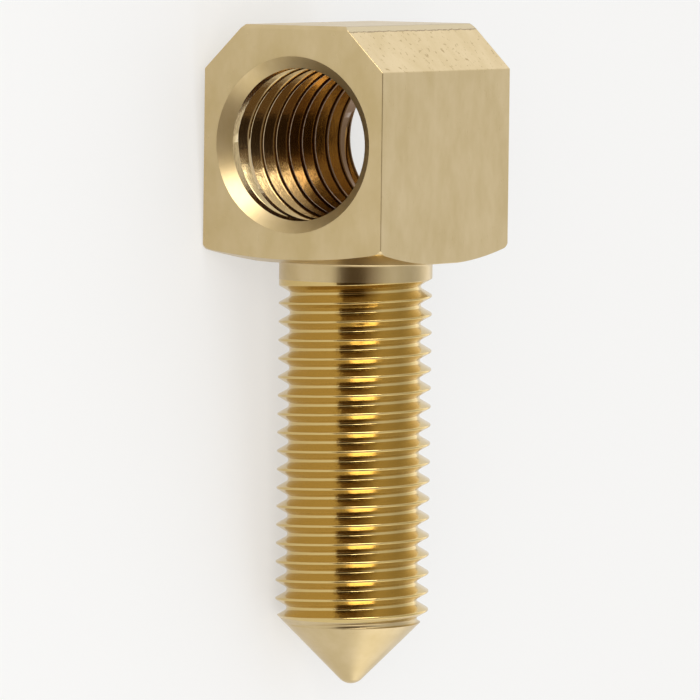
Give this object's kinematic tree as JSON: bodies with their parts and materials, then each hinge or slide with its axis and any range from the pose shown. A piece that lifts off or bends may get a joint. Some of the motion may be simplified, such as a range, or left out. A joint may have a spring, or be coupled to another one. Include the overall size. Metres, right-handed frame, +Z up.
{
  "type": "brass nut with threaded shank",
  "caption": "Brass block nut tapped across for a screw, on an integral threaded shank with a cone point; it screws in and carries a cross screw.",
  "frame": {"origin": "centre of the bounding box, at the floor that the part lies on", "axes": "+X runs from the head to the point of the shank (the shank dips 4.1 degrees below it, because the head is wider than the thread), +Y along the cross hole, +Z up"},
  "size_m": [0.0518, 0.02, 0.017],
  "materials": {
    "turned_brass": "milled and turned free-cutting brass, left bright, with faint cutter marks and a thin dull tarnish"
  },
  "bodies": {
    "root": {"nut_body": "turned_brass"}
  },
  "joints": []
}
